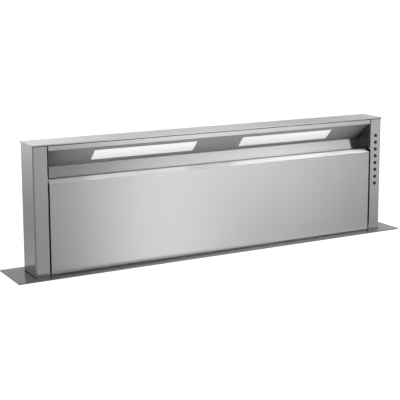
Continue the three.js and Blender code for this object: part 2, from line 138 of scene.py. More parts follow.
def steel(name, grain, base=(0.67, 0.67, 0.67), rough=0.24, aniso=0.8, streak=0.04, bump=0.008, smudge=0.03, edge=None, end_shade=0.0):
    """Brushed stainless steel: fine parallel scratches, slightly uneven gloss, faint cloudy smears.
    edge is the (lightness, roughness) of a facet that faces up and forward and of the fold behind it: the lightness is
    a painted highlight, the roughness a satin finish.
    The last argument is how much painted shade darkens the two ends, where a cheek meets the sheet at a right angle."""
    mat = bpy.data.materials.new(name)
    mat.use_nodes = True
    t = Tree(mat.node_tree)
    out = t.n("ShaderNodeOutputMaterial")
    b = t.n("ShaderNodeBsdfPrincipled", {"Metallic": 1.0, "Anisotropic": aniso})
    t.link(b.outputs[0], out.inputs[0])
    along = {"x": (2.2, 420, 420), "z": (420, 420, 2.2)}[grain]
    fine = {"x": (9, 1500, 1500), "z": (1500, 1500, 9)}[grain]
    s1 = stretched(t, along, 4.0, 0.6)
    s2 = stretched(t, fine, 2.0, 0.5)
    cloud = stretched(t, (3.1, 3.1, 3.1), 3.0, 0.5)
    mixed = t.math("ADD", t.math("MULTIPLY", s1, 0.6), t.math("MULTIPLY", s2, 0.4))
    # colour: base times 1 +- streak, with faint clouds
    gain = t.math("ADD", t.math("MULTIPLY_ADD", mixed, 2 * streak, 1 - streak), t.math("MULTIPLY_ADD", cloud, 2 * smudge * 0.5, -smudge * 0.5))
    r = t.math("ADD", t.math("MULTIPLY_ADD", mixed, 0.10, rough - 0.05), t.math("MULTIPLY_ADD", cloud, smudge * 1.2, -smudge * 0.6))
    if edge:
        own = t.n("ShaderNodeTexCoord")
        sep = t.n("ShaderNodeSeparateXYZ", {"Vector": own.outputs["Normal"]})
        facet = t.math("MULTIPLY", t.math("GREATER_THAN", sep.outputs[2], 0.6), t.math("LESS_THAN", sep.outputs[1], -0.25))
        facet = t.math("MAXIMUM", facet, t.math("GREATER_THAN", sep.outputs[1], 0.9))
        # painted highlight: the colour of the facet that faces up and forward, and of the fold behind it that faces
        # back, is made lighter; their roughness is raised as well
        gain = t.math("MULTIPLY", gain, t.math("MULTIPLY_ADD", facet, edge[0] / base[0] - 1, 1.0))
        r = t.math("MULTIPLY_ADD", facet, edge[1] - rough, r)
    # painted shade: the colour darkens over the last 70 mm or so at both ends of the sheet, unevenly with the clouds
    if end_shade:
        place = t.n("ShaderNodeTexCoord")
        along_x = t.n("ShaderNodeSeparateXYZ", {"Vector": place.outputs["Object"]}).outputs[0]
        near = t.math("EXPONENT", t.math("MULTIPLY_ADD", t.math("ABSOLUTE", along_x), 1 / 0.07, -0.503 / 0.07))
        near = t.math("MULTIPLY", near, t.math("MULTIPLY_ADD", cloud, 0.6, 0.7))
        gain = t.math("MULTIPLY", gain, t.math("MULTIPLY_ADD", near, -end_shade, 1.0))
    col = t.n("ShaderNodeMix", {"Factor": 1.0}, data_type="RGBA", blend_type="MULTIPLY")
    col.inputs[6].default_value = (*base, 1)
    cmb = t.n("ShaderNodeCombineColor", {"Red": gain, "Green": gain, "Blue": gain})
    t.link(cmb.outputs[0], col.inputs[7])
    t.link(col.outputs[2], b.inputs["Base Color"])
    t.link(r, b.inputs["Roughness"])
    bp = t.n("ShaderNodeBump", {"Height": mixed, "Strength": bump, "Distance": 0.0004})
    t.link(bp.outputs[0], b.inputs["Normal"])
    # the gloss spreads across the grain; the grain line leans a little, so that cut ends have a direction too
    geo = t.n("ShaderNodeNewGeometry")
    across = t.n("ShaderNodeVectorMath", {0: geo.outputs["Normal"], 1: {"x": (1, 0.002, 0.02), "z": (0.02, 0.002, 1)}[grain]}, operation="CROSS_PRODUCT")
    t.link(across.outputs[0], b.inputs["Tangent"])
    return mat


def simple(name, base, rough, metal=0.0, grain_scale=900, bump=0.1, vary=0.12, rough_vary=0.1, big=6.0, bump_dist=0.0003, **sockets):
    """A moulded, cast or painted surface with fine grain, uneven gloss and slow colour change."""
    mat = bpy.data.materials.new(name)
    mat.use_nodes = True
    t = Tree(mat.node_tree)
    out = t.n("ShaderNodeOutputMaterial")
    b = t.n("ShaderNodeBsdfPrincipled", {"Metallic": metal, **sockets})
    t.link(b.outputs[0], out.inputs[0])
    g = stretched(t, (grain_scale,) * 3, 3.0, 0.6)
    c = stretched(t, (big,) * 3, 3.0, 0.5)
    gain = t.math("MULTIPLY_ADD", c, 2 * vary, 1 - vary)
    col = t.n("ShaderNodeMix", {"Factor": 1.0}, data_type="RGBA", blend_type="MULTIPLY")
    col.inputs[6].default_value = (*base, 1)
    cmb = t.n("ShaderNodeCombineColor", {"Red": gain, "Green": gain, "Blue": gain})
    t.link(cmb.outputs[0], col.inputs[7])
    t.link(col.outputs[2], b.inputs["Base Color"])
    t.link(t.math("MULTIPLY_ADD", g, rough_vary, rough - rough_vary / 2), b.inputs["Roughness"])
    bp = t.n("ShaderNodeBump", {"Height": g, "Strength": bump, "Distance": bump_dist})
    t.link(bp.outputs[0], b.inputs["Normal"])
    return mat


def galvanised(name):
    """Zinc-coated sheet: faint crystal spangle in colour and gloss."""
    mat = bpy.data.materials.new(name)
    mat.use_nodes = True
    t = Tree(mat.node_tree)
    out = t.n("ShaderNodeOutputMaterial")
    b = t.n("ShaderNodeBsdfPrincipled", {"Metallic": 0.9})
    t.link(b.outputs[0], out.inputs[0])
    tc = t.n("ShaderNodeTexCoord")
    v = t.n("ShaderNodeTexVoronoi", {"Vector": tc.outputs["Object"], "Scale": 230.0, "Randomness": 1.0})
    v2 = t.n("ShaderNodeTexVoronoi", {"Vector": tc.outputs["Object"], "Scale": 110.0, "Randomness": 1.0})
    sep = t.n("ShaderNodeSeparateColor", {"Color": v.outputs["Color"]})
    sep2 = t.n("ShaderNodeSeparateColor", {"Color": v2.outputs["Color"]})
    cloud = stretched(t, (3, 3, 3), 3.0, 0.5)
    k = t.math("ADD", t.math("MULTIPLY", sep.outputs[0], 0.6), t.math("MULTIPLY", sep2.outputs[1], 0.4))
    g = t.math("ADD", t.math("MULTIPLY", k, 0.6), t.math("MULTIPLY", cloud, 0.4))
    c = t.ramp(g, [(0.2, (0.60, 0.615, 0.625)), (0.8, (0.74, 0.75, 0.755))])
    t.link(c, b.inputs["Base Color"])
    t.link(t.math("MULTIPLY_ADD", k, 0.14, 0.42), b.inputs["Roughness"])
    bp = t.n("ShaderNodeBump", {"Height": k, "Strength": 0.04, "Distance": 0.0003})
    t.link(bp.outputs[0], b.inputs["Normal"])
    return mat


STEEL_X = steel("steel_brushed_x", "x")
STEEL_Z = steel("steel_brushed_post", "z")
# the door's up-facing bevel and the fold behind it carry a painted highlight in their colour
STEEL_DOOR = steel("steel_brushed_door", "x", edge=(0.88, 0.5))
# painted shade: the flange is a darker copy of the brushed steel, its base colour lowered
STEEL_FLANGE = steel("steel_brushed_flange", "x", base=(0.31, 0.31, 0.31), rough=0.27)
# painted shade: the light panel darkens towards its two ends
STEEL_PANEL = steel("steel_brushed_light_panel", "x", base=(0.75, 0.75, 0.75), rough=0.64, end_shade=0.6)
STEEL_WALL = steel("steel_brushed_wall", "x", rough=0.16)
# painted shade: the inner cheeks are a darker copy of the brushed steel, the shade deep in the opening put into their
# colour
STEEL_CHEEK = steel("steel_brushed_cheek", "z", base=(0.25, 0.25, 0.25), rough=0.35)
OWN_STEEL = {"left_post": STEEL_Z, "right_post": STEEL_Z, "door_panel": STEEL_DOOR, "worktop_flange": STEEL_FLANGE, "light_panel": STEEL_PANEL,
             "filter_carrier": STEEL_WALL, "inner_cheek_left": STEEL_CHEEK, "inner_cheek_right": STEEL_CHEEK}
M_GALV = galvanised("galvanised")
M_ENAMEL = simple("dark_enamel", (0.045, 0.048, 0.052), 0.42, 0.0, grain_scale=700, bump=0.12)
M_CAST = simple("cast_aluminium", (0.42, 0.43, 0.44), 0.55, 0.85, grain_scale=420, bump=0.35, vary=0.15)
M_PLASTIC = simple("black_plastic", (0.018, 0.018, 0.02), 0.5, grain_scale=1100, bump=0.15)
M_RUBBER = simple("seal_rubber", (0.012, 0.012, 0.012), 0.8, grain_scale=600, bump=0.25)
# near-black, low-gloss strips that stand in for the shade in the door's side gaps: painted shadow
M_GAP_SHADE = simple("gap_shade_black", (0.006, 0.006, 0.006), 0.9, grain_scale=1400, bump=0.3, **{"Specular IOR Level": 0.1})
M_BOARD = simple("circuit_board", (0.02, 0.10, 0.045), 0.4, grain_scale=500, bump=0.05)
M_BRONZE = simple("bronze", (0.52, 0.34, 0.14), 0.4, 0.9, grain_scale=700, bump=0.12)
M_BRIGHT = simple("bright_steel", (0.60, 0.61, 0.62), 0.25, 1.0, grain_scale=900, bump=0.05, vary=0.05)
M_PIN = simple("burnished_pin", (0.10, 0.10, 0.10), 0.4, 0.9, grain_scale=900, bump=0.05)
M_COLLAR = simple("polished_collar", (0.42, 0.42, 0.43), 0.15, 1.0, grain_scale=1500, bump=0.02, vary=0.03, rough_vary=0.05)
M_BUTTON = simple("polished_button", (0.11, 0.11, 0.115), 0.12, 1.0, grain_scale=1500, bump=0.02, vary=0.03, rough_vary=0.05)
M_FILTER = simple("filter_aluminium", (0.62, 0.63, 0.63), 0.34, 0.95, grain_scale=500, bump=0.1, vary=0.08)
M_FILTER_CORE = simple("filter_fleece", (0.20, 0.20, 0.205), 0.6, 0.8, grain_scale=260, bump=0.9, vary=0.35, big=90.0, bump_dist=0.0012)


def lens_material():
    mat = bpy.data.materials.new("frosted_diffuser")
    mat.use_nodes = True
    t = Tree(mat.node_tree)
    out = t.n("ShaderNodeOutputMaterial")
    b = t.n("ShaderNodeBsdfPrincipled", {"Roughness": 0.4, "Emission Strength": 0.45})
    t.link(b.outputs[0], out.inputs[0])
    g = stretched(t, (700, 700, 700), 2.0, 0.5)
    c = stretched(t, (5, 5, 5), 2.0, 0.5)
    t.link(t.ramp(c, [(0.2, (0.74, 0.76, 0.76)), (0.8, (0.80, 0.815, 0.81))]), b.inputs["Base Color"])
    t.link(t.ramp(c, [(0.2, (0.62, 0.635, 0.63)), (0.8, (0.70, 0.712, 0.705))]), b.inputs["Emission Color"])
    bp = t.n("ShaderNodeBump", {"Height": g, "Strength": 0.1, "Distance": 0.0002})
    t.link(bp.outputs[0], b.inputs["Normal"])
    return mat


M_LENS = lens_material()

FINISH = {
    "brushed_steel": STEEL_X, "galvanised_steel": M_GALV, "seal_rubber": M_RUBBER, "dark_enamel": M_ENAMEL,
    "cast_aluminium": M_CAST, "black_plastic": M_PLASTIC, "frosted_diffuser": M_LENS, "circuit_board": M_BOARD,
    "bronze": M_BRONZE, "filter_aluminium": M_FILTER, "bright_steel": M_BRIGHT, "polished_steel": M_BUTTON,
}
SLOT = {s["node"]: s["material_slot"] for s in frame["record"]["subparts"]}
for name, o in NODES.items():
    mat = OWN_STEEL.get(name, M_PIN if name.startswith("hinge_pin") else FINISH[SLOT[name]])
    o.data.materials.clear()
    o.data.materials.append(mat)
    bv = o.modifiers.new("edge", "BEVEL")
    bv.limit_method = "ANGLE"
    bv.angle_limit = math.radians(40)
    bv.width = 0.00035
    bv.segments = 2

# ------------------------------------------------------------------ detail pieces
class Build:
    """Collects closed shells in millimetres (tower frame) for one piece."""

    def __init__(self):
        self.v, self.f = [], []

    def add(self, verts, faces):
        k = len(self.v)
        self.v += [tuple(p) for p in verts]
        self.f += [tuple(i + k for i in f) for f in faces]

    @staticmethod
    def frame(axis):
        """Two side directions and the given direction, right-handed."""
        w = Vector(axis).normalized()
        u = Vector((0, 0, 1)).cross(w) if abs(w.z) < 0.9 else Vector((1, 0, 0))
        u.normalize()
        return u, w.cross(u), w

    def rings(self, rings, cap0=True, cap1=True):
        """Skins equal-length closed rings in order, with flat ends."""
        n = len(rings[0])
        vs = [p for r in rings for p in r]
        fs = []
        for a in range(len(rings) - 1):
            for i in range(n):
                j = (i + 1) % n
                fs.append((a * n + i, a * n + j, (a + 1) * n + j, (a + 1) * n + i))
        if cap0:
            fs.append(tuple(range(n - 1, -1, -1)))
        if cap1:
            fs.append(tuple(range((len(rings) - 1) * n, len(rings) * n)))
        self.add(vs, fs)

    def turned(self, origin, axis, profile, n=48):
        """A turned shape: profile of (height, radius) along axis. Its ends are closed."""
        u, v, w = self.frame(axis)
        o = Vector(origin)
        rr = [[o + w * h + (u * math.cos(2 * math.pi * i / n) + v * math.sin(2 * math.pi * i / n)) * r for i in range(n)] for h, r in profile]
        self.rings(rr)

    def ring_turned(self, origin, axis, profile, n=48):
        """A turned ring: a closed profile of (height, radius) that stays off the axis."""
        u, v, w = self.frame(axis)
        o = Vector(origin)
        m_ = len(profile)
        vs = [o + w * h + (u * math.cos(2 * math.pi * i / n) + v * math.sin(2 * math.pi * i / n)) * r for i in range(n) for h, r in profile]
        fs = [(i * m_ + k, ((i + 1) % n) * m_ + k, ((i + 1) % n) * m_ + (k + 1) % m_, i * m_ + (k + 1) % m_) for i in range(n) for k in range(m_)]
        self.add(vs, fs)

    def box(self, x0, x1, y0, y1, z0, z1, c=0.0):
        """A box, its edges chamfered by c."""
        if c <= 0:
            vs = [(x, y, z) for z in (z0, z1) for y in (y0, y1) for x in (x0, x1)]
            self.add(vs, [(0, 2, 3, 1), (4, 5, 7, 6), (0, 1, 5, 4), (2, 6, 7, 3), (0, 4, 6, 2), (1, 3, 7, 5)])
            return
        def ring(z, d):
            return [(x0 + c + d, y0 + d, z), (x1 - c - d, y0 + d, z), (x1 - d, y0 + c + d, z), (x1 - d, y1 - c - d, z),
                    (x1 - c - d, y1 - d, z), (x0 + c + d, y1 - d, z), (x0 + d, y1 - c - d, z), (x0 + d, y0 + c + d, z)]
        self.rings([ring(z0, c * 0.7), ring(z0 + c * 0.7, 0), ring(z1 - c * 0.7, 0), ring(z1, c * 0.7)])

    def prism(self, outline, place, h0, h1):
        """An outline (a, b) swept from h0 to h1, put in place by place(a, b, h)."""
        self.rings([[place(a, b, h) for a, b in outline] for h in (h0, h1)])

    def head(self, origin, axis, r=3.2, h=2.0, key=1.7, deep=1.2, n=24):
        """A button-head screw with a hexagon socket, standing on origin."""
        u, v, w = self.frame(axis)
        o = Vector(origin)
        def circ(rad, hh):
            return [o + w * hh + (u * math.cos(2 * math.pi * i / n) + v * math.sin(2 * math.pi * i / n)) * rad for i in range(n)]
        def hexa(rad, hh):
            out = []
            for i in range(n):
                t = 2 * math.pi * i / n
                k = (t % (math.pi / 3)) - math.pi / 6
                out.append(o + w * hh + (u * math.cos(t) + v * math.sin(t)) * (rad * math.cos(math.pi / 6) / math.cos(k)))
            return out
        self.rings([circ(r, 0), circ(r, h * 0.35), circ(r * 0.93, h * 0.68), circ(r * 0.78, h * 0.9), circ(r * 0.62, h),
                    hexa(key, h), hexa(key, h - deep), hexa(key * 0.5, h - deep)])

    def hexnut(self, origin, axis, r, h):
        u, v, w = self.frame(axis)
        o = Vector(origin)
        def ring(k, hh):
            return [o + w * hh + (u * math.cos(math.pi * i / 3) + v * math.sin(math.pi * i / 3)) * (r * k) for i in range(6)]
        self.rings([ring(0.93, 0), ring(1, h * 0.12), ring(1, h * 0.88), ring(0.93, h)])

    def thread(self, origin, axis, length, r, depth, pitch, starts=1, step=None, n=32):
        """A threaded rod, right-handed."""
        u, v, w = self.frame(axis)
        o = Vector(origin)
        step = step or pitch / 5
        m_ = max(2, int(round(length / step)))
        rr = []
        for k in range(m_ + 1):
            hh = length * k / m_
            ease = min(1.0, k / 3, (m_ - k) / 3)
            ring = []
            for i in range(n):
                t = 2 * math.pi * i / n
                ph = (starts * t / (2 * math.pi) - hh / pitch) % 1.0
                tooth = max(0.0, min(1.0, (abs(ph - 0.5) * 2 - 0.25) / 0.5))
                ring.append(o + w * hh + (u * math.cos(t) + v * math.sin(t)) * (r - depth * (1 - tooth * ease)))
            rr.append(ring)
        self.rings(rr)

    def tube(self, path, r, n=10):
        """A round bar along a path of points, with flat ends."""
        pts = [Vector(p) for p in path]
        rr = []
        up_ = None
        for i, p in enumerate(pts):
            d = (pts[min(i + 1, len(pts) - 1)] - pts[max(i - 1, 0)]).normalized()
            if up_ is None:
                up_ = Vector((0, 0, 1)) if abs(d.z) < 0.9 else Vector((1, 0, 0))
            s = d.cross(up_).normalized()
            up_ = s.cross(d).normalized()
            rr.append([p + (s * math.cos(2 * math.pi * k / n) + up_ * math.sin(2 * math.pi * k / n)) * r for k in range(n)])
        self.rings(rr)

    def piece(self, name, body, slot, mat=None, replaces=(), smooth=35, bevel=0.0):
        me = bpy.data.meshes.new(name)
        me.from_pydata([P(*p) for p in self.v], [], self.f)
        me.validate()
        bm = bmesh.new()
        bm.from_mesh(me)
        bmesh.ops.recalc_face_normals(bm, faces=bm.faces)
        limit = math.radians(smooth)
        for f in bm.faces:
            f.smooth = True
        for e in bm.edges:
            if len(e.link_faces) == 2 and e.calc_face_angle(0) > limit:
                e.smooth = False
        bm.to_mesh(me)
        bm.free()
        o = bpy.data.objects.new(name, me)
        bpy.context.scene.collection.objects.link(o)
        me.materials.append(mat or FINISH[slot])
        if bevel:
            b_ = o.modifiers.new("edge", "BEVEL")
            b_.limit_method = "ANGLE"
            b_.angle_limit = math.radians(40)
            b_.width = bevel / 1000
            b_.segments = 2
        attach(o, body)
        if replaces:
            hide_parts(*replaces)
        return o


SIDES = (("left", -1), ("right", 1))

# --- push buttons: polished domes with a turned edge
for i in range(8):
    z = 289 - 20.6 * i
    b = Build()
    dome = [(-0.6 + 2.2 * (1 - math.cos(a)) / (1 - math.cos(1.22)), 4.45 * math.sin(a) / math.sin(1.22)) for a in [1.22 * k / 10 for k in range(11)]]
    prof = [(y, max(r, 0.02)) for y, r in dome] + [(1.75, 4.56), (1.95, 4.6), (2.4, 4.6), (2.4, 6.1), (2.5, 6.2), (3.1, 6.2), (3.2, 6.1), (3.2, 2.2), (5.0, 2.2), (5.2, 2.0)]
    b.turned((526.7, 0, z), (0, 1, 0), prof, 48)
    b.piece(f"button_cap_{i + 1}", f"button_{i + 1}", "polished_steel", replaces=(f"button_{i + 1}",), smooth=40)

# --- lift screws: four-start rolled thread, 25 mm lead, with collar and journal
for side, s in SIDES:
    b = Build()
    b.thread((s * 526.75, 43.5, -502.9), (0, 0, 1), 436.9, 6.0, 0.9, 6.25, starts=4, step=1.6, n=40)
    b.turned((s * 526.75, 43.5, 0), (0, 0, 1), [(-521, 3.6), (-520.6, 4), (-507.6, 4), (-507.6, 8.6), (-507.2, 9), (-503.4, 9), (-503, 8.6), (-502.4, 6.4), (-502.4, 5.0)], 40)
    b.piece(f"threaded_screw_{side}", f"{side}_screw", "bright_steel", replaces=(f"lift_screw_{side}",))

# --- grease filters: folded frame, two layers of expanded aluminium over the fleece, and a pull
def expanded(b, x0, x1, z0, z1, y, t, w=0.42, pitch_x=10.0, pitch_z=5.0):
    """Expanded metal: zigzag strands that meet their neighbours at the tips."""
    rows = int((z1 - z0) // pitch_z)
    cols = int((x1 - x0) // (pitch_x / 2))
    px = (x1 - x0) / cols
    pz = (z1 - z0) / rows
    for j in range(rows):
        zc = z0 + pz * (j + 0.5)
        ring = []
        for i in range(cols + 1):
            up_ = ((i + j) % 2) * 2 - 1
            zz = zc + up_ * (pz / 2 - w)
            x = x0 + i * px
            ring.append([(x, y, zz - w), (x, y, zz + w), (x, y + t, zz + w), (x, y + t, zz - w)])
        b.rings(ring)


for i, xc in enumerate((-334, 0, 334)):
    b = Build()
    x0, x1, y0, y1, z0, z1, w = xc - 162, xc + 162, 40.6, 49.6, 24, 212, 11
    # mitred channel frame with a rolled inner lip
    sec = [(0, 0.5), (0.5, 0), (w - 1.2, 0), (w, 0.6), (w, 1.6), (w - 1.6, 1.6), (w - 1.6, 7.4), (w, 7.4), (w, 8.4), (w - 1.2, 9), (0.5, 9), (0, 8.5)]
    corners = [((x0, z0), (1, 1)), ((x1, z0), (-1, 1)), ((x1, z1), (-1, -1)), ((x0, z1), (1, -1))]
    rr = [[(cx + d * sx, y0 + h, cz + d * sz) for d, h in sec] for (cx, cz), (sx, sz) in corners]
    n = len(sec)
    vs = [p for r in rr for p in r]
    fs = [(a * n + k, a * n + (k + 1) % n, ((a + 1) % 4) * n + (k + 1) % n, ((a + 1) % 4) * n + k) for a in range(4) for k in range(n)]
    b.add(vs, fs)
    expanded(b, x0 + 10, x1 - 10, z0 + 10, z1 - 10, 42.4, 0.7)
    expanded(b, x0 + 10, x1 - 10, z0 + 10, z1 - 10, 47.1, 0.7, pitch_x=12.0, pitch_z=6.0)
    b.piece(f"filter_cassette_{i + 1}", "tower", "filter_aluminium", replaces=(f"grease_filter_{i + 1}",))
    core = Build()
    # the crimped fleece between the two layers
    m_ = 60
    ring = [[(x0 + 9.8 + (x1 - x0 - 19.6) * k / m_, 43.6 + (0.5 if k % 2 else 0), z) for z in (z0 + 9.8, z1 - 9.8)]
            + [(x0 + 9.8 + (x1 - x0 - 19.6) * k / m_, 46.4 - (0 if k % 2 else 0.5), z) for z in (z1 - 9.8, z0 + 9.8)] for k in range(m_ + 1)]
    core.rings(ring)
    core.piece(f"filter_core_{i + 1}", "tower", "filter_aluminium", mat=M_FILTER_CORE)
    pull = Build()
    zc = 150
    pull.tube([(xc - 22, 41.2, zc), (xc - 22, 39.2, zc), (xc - 20.5, 38.2, zc - 3), (xc - 18, 38.0, zc - 10), (xc - 14, 38.0, zc - 14), (xc, 38.0, zc - 15),
               (xc + 14, 38.0, zc - 14), (xc + 18, 38.0, zc - 10), (xc + 20.5, 38.2, zc - 3), (xc + 22, 39.2, zc), (xc + 22, 41.2, zc)], 1.3, 10)
    for sx in (-22, 22):
        pull.box(xc + sx - 4, xc + sx + 4, 40.2, 42.3, zc - 4, zc + 4, 0.6)
    pull.piece(f"filter_pull_{i + 1}", "tower", "bright_steel")

# --- lift motor: ribbed can, end bell, tie bolts and a plug-in lead block
GX, GY = -255, 43.5
b = Build()
b.turned((GX, GY, 0), (0, 0, 1), [(-507.7, 23.5), (-507.2, 24), (-502.6, 24), (-502.1, 23.6), (-501.8, 22.6), (-501.8, 22.0)], 64)
N = 96
ribs = []
for z, k in ((-501.9, 0.93), (-501.2, 0.97), (-500.6, 1), (-463, 1), (-462.4, 0.97), (-461.8, 0.93)):
    ribs.append([(GX + math.cos(2 * math.pi * i / N) * (26 if i % 4 < 2 else 24.4) * k, GY + math.sin(2 * math.pi * i / N) * (26 if i % 4 < 2 else 24.4) * k, z) for i in range(N)])
b.rings(ribs)
b.turned((GX, GY, 0), (0, 0, 1), [(-461.9, 22.8), (-459.6, 23.4), (-457.8, 23.2), (-455, 21.6), (-453.4, 18), (-453, 12), (-453, 7), (-450.2, 7), (-449.4, 6.4), (-449, 5)], 64)
for k in range(4):
    a = math.radians(45 + 90 * k)
    b.head((GX + 18 * math.cos(a), GY + 18 * math.sin(a), -454.2), (0, 0, 1), 2.3, 1.9, 1.1, 1.0, 18)
b.piece("motor_can", "housing", "dark_enamel", replaces=("drive_motor",))
b = Build()
b.box(GX - 9, GX + 9, GY - 30, GY - 24.4, -478, -462, 1.0)
b.box(GX - 7, GX + 7, GY - 32.5, GY - 29.6, -476, -464, 0.6)
b.piece("motor_terminal_block", "housing", "black_plastic", bevel=0.2)

# --- bolts of the gear cases
b = Build()
for sx in (-1, 1):
    for sy in (-1, 1):
        b.head((GX + sx * 27.5, GY + sy * 20.5, -508.0), (0, 0, 1), 3.3, 2.4)
        b.head((GX + sx * 42, GY + sy * 22, -573.0), (0, 0, 1), 3.3, 2.4)
b.piece("motor_gearbox_bolts", "housing", "bright_steel")
for side, s in SIDES:
    b = Build()
    for sx in (-1, 1):
        for sy in (-1, 1):
            b.head((s * 527 + sx * 16.4, GY + sy * 15.6, -508.0), (0, 0, 1), 2.4, 1.9, 1.2, 1.0, 18)
            b.head((s * 527 + sx * 25, GY + sy * 22.6, -573.0), (0, 0, 1), 2.3, 1.9, 1.1, 1.0, 18)
    b.piece(f"corner_gearbox_bolts_{side}", "housing", "bright_steel")

# --- control box: lid screws, cooling louvres
b = Build()
for x in (303.5, 476.5):
    for z in (-303.5, -416.5):
        b.head((x, -49.0, z), (0, -1, 0), 3.1, 1.5, 1.5, 1.0, 24)
for x in (297.5, 482.5):
    for z in (-298, -422):
        b.head((x if x < 390 else 483.0, -11.6, z), (0, -1, 0), 2.6, 1.6, 1.3, 1.0, 20)
b.piece("control_box_screws", "housing", "bright_steel")
b = Build()
for k in range(7):
    z = -328 - 7.5 * k
    for xa in (330, 396):
        sec = [(0, 0), (0, 1.2), (-1.1, 0.5), (-1.3, -1.4), (0, -2.4)]
        m_ = 10
        rr = []
        for q in range(m_ + 1):
            f_ = min(1.0, 0.25 + 1.6 * min(q, m_ - q) / m_)
            rr.append([(xa + 54 * q / m_, -48.95 + dy * f_, z + dz * (0.6 + 0.4 * f_)) for dy, dz in sec])
        b.rings(rr)
b.piece("control_box_louvres", "housing", "dark_enamel")

# --- cable gland: nut, clamping cap with grip flutes, bore left open
b = Build()
GLX, GLY = 440, -28
cap = 64
def fluted(z, r, k=0.5):
    return [(GLX + math.cos(2 * math.pi * i / cap) * (r - (k if i % 4 == 0 else 0)), GLY + math.sin(2 * math.pi * i / cap) * (r - (k if i % 4 == 0 else 0)), z) for i in range(cap)]
def circle(z, r):
    return [(GLX + math.cos(2 * math.pi * i / cap) * r, GLY + math.sin(2 * math.pi * i / cap) * r, z) for i in range(cap)]
def hexring(z, r):
    out = []
    for i in range(cap):
        t_ = 2 * math.pi * i / cap
        k_ = (t_ % (math.pi / 3)) - math.pi / 6
        out.append((GLX + math.cos(t_) * r * math.cos(math.pi / 6) / math.cos(k_), GLY + math.sin(t_) * r * math.cos(math.pi / 6) / math.cos(k_), z))
    return out
outer = [circle(-451, 4.3), circle(-451, 6.2), circle(-450.4, 6.8), fluted(-447, 8.2, 0.2), fluted(-445, 8.6), fluted(-437.4, 8.6), fluted(-436.6, 8.3, 0.2),
         circle(-436.4, 7.6), hexring(-436, 10.9), hexring(-435.4, 11.5), hexring(-429.2, 11.5), hexring(-428.5, 10.9), circle(-428.5, 8), circle(-423.3, 8), circle(-423.3, 4.3), circle(-438, 4.3)]
nn = cap
vs = [p for r in outer for p in r]
fs = [(a * nn + i, a * nn + (i + 1) % nn, ((a + 1) % len(outer)) * nn + (i + 1) % nn, ((a + 1) % len(outer)) * nn + i) for a in range(len(outer)) for i in range(nn)]
b.add(vs, fs)
b.piece("gland_body", "housing", "black_plastic", replaces=("cable_gland",))

# --- screws of the outlet collar and of the blanking cover, pop rivets and screws of the sheet-metal body
b = Build()
for x, z in [(x, z) for x in (-119, -60, 0, 60, 119) for z in (-467.5, -567.5) if not (abs(x) < 100 and z < -566)] + [(-118, -517), (118, -517)]:
    if abs(x) < 111 and -562 < z < -469:
        continue
    b.head((x, 104.3, z + (4 if z > -500 else 0)), (0, 1, 0), 2.8, 1.7, 1.4, 1.1, 20)
for x, z in ((-117, -465), (0, -465), (117, -465), (-117, -566), (0, -566), (117, -566), (-117, -515), (117, -515)):
    b.head((x, -11.3, z), (0, -1, 0), 2.8, 1.7, 1.4, 1.1, 20)
b.piece("outlet_screws", "housing", "bright_steel")
b = Build()
for s in (-1, 1):
    for z in (-30, -105, -215, -325, -435, -560):
        b.turned((s * 565, 102.5, z), (0, 1, 0), [(-0.2, 3.2), (0.25, 3.2), (0.8, 2.7), (1.15, 1.7), (1.3, 0.9), (1.0, 0.6)], 24)
        b.turned((s * 565, -9.5, z), (0, -1, 0), [(-0.2, 3.2), (0.25, 3.2), (0.8, 2.7), (1.15, 1.7), (1.3, 0.9), (1.0, 0.6)], 24)
    for y in (8, 85):
        for z in (-180, -360, -545):
            b.turned((s * 574, y, z), (s, 0, 0), [(-0.2, 3.2), (0.25, 3.2), (0.8, 2.7), (1.15, 1.7), (1.3, 0.9), (1.0, 0.6)], 24)
b.piece("housing_rivets", "housing", "galvanised_steel", mat=M_BRIGHT)

# --- dark strips in the shadow gap under the top plate stand in for its shade (painted shadow), the front one with a lip that shows as a dark line under the plate's edge
b = Build()
b.box(-544.2, 544.2, 81.3, 86.1, 337.62, 338.9, 0.15)
lip = [(-0.45, 337.0), (-0.3, 336.85), (-0.12, 336.85), (-0.12, 337.62), (5.6, 337.62), (5.7, 337.75), (5.7, 338.8), (5.6, 338.9), (-0.3, 338.9), (-0.45, 338.75)]
b.prism(lip, lambda y, z, x: (x, y, z), -543.6, 544.2)
b.piece("top_plate_shade_strip", "tower", "seal_rubber")

# --- near-black strips down the posts, behind the door's side gaps, stand in for the shade in the gaps (painted shadow); the one beside the buttons has a lip
b = Build()
b.prism([(504.7, -0.03), (504.7, -0.2), (504.9, -0.4), (508.7, -0.4), (508.9, -0.2), (508.9, -0.03)], lambda x, y, z: (x, y, z), 19.2, 246.5)
for side, s in SIDES:
    b.prism([(507.45, 0.75), (507.45, 13.6), (507.0, 14.0), (505.0, 14.0), (504.7, 13.6), (504.7, 0.5), (505.0, 0.2), (506.9, 0.2)], lambda x, y, z, s=s: (s * x, y, z), 19.2, 247.5)
b.piece("door_gap_shade_strips", "tower", "seal_rubber", mat=M_GAP_SHADE)

# --- bright collars round the buttons
for i in range(8):
    b = Build()
    b.ring_turned((526.7, 0, 289 - 20.6 * i), (0, 1, 0), [(-0.02, 6.15), (-0.2, 6.12), (-0.62, 5.72), (-0.74, 5.5), (-0.74, 5.22), (-0.62, 5.08), (-0.02, 5.06)], 48)
    b.piece(f"button_collar_{i + 1}", "tower", "polished_steel", mat=M_COLLAR, smooth=30)

# --- back of the tower: flush countersunk screws along its edges
b = Build()
for s in (-1, 1):
    for z in (20, 95, 170, 245, 318):
        b.head((s * 498, 86.95, z), (0, 1, 0), 3.4, 0.45, 1.5, 0.35, 28)
for x in (-330, -165, 0, 165, 330):
    b.head((x, 86.95, 328), (0, 1, 0), 3.4, 0.45, 1.5, 0.35, 28)
b.piece("rear_panel_screws", "tower", "brushed_steel", mat=M_BRIGHT)

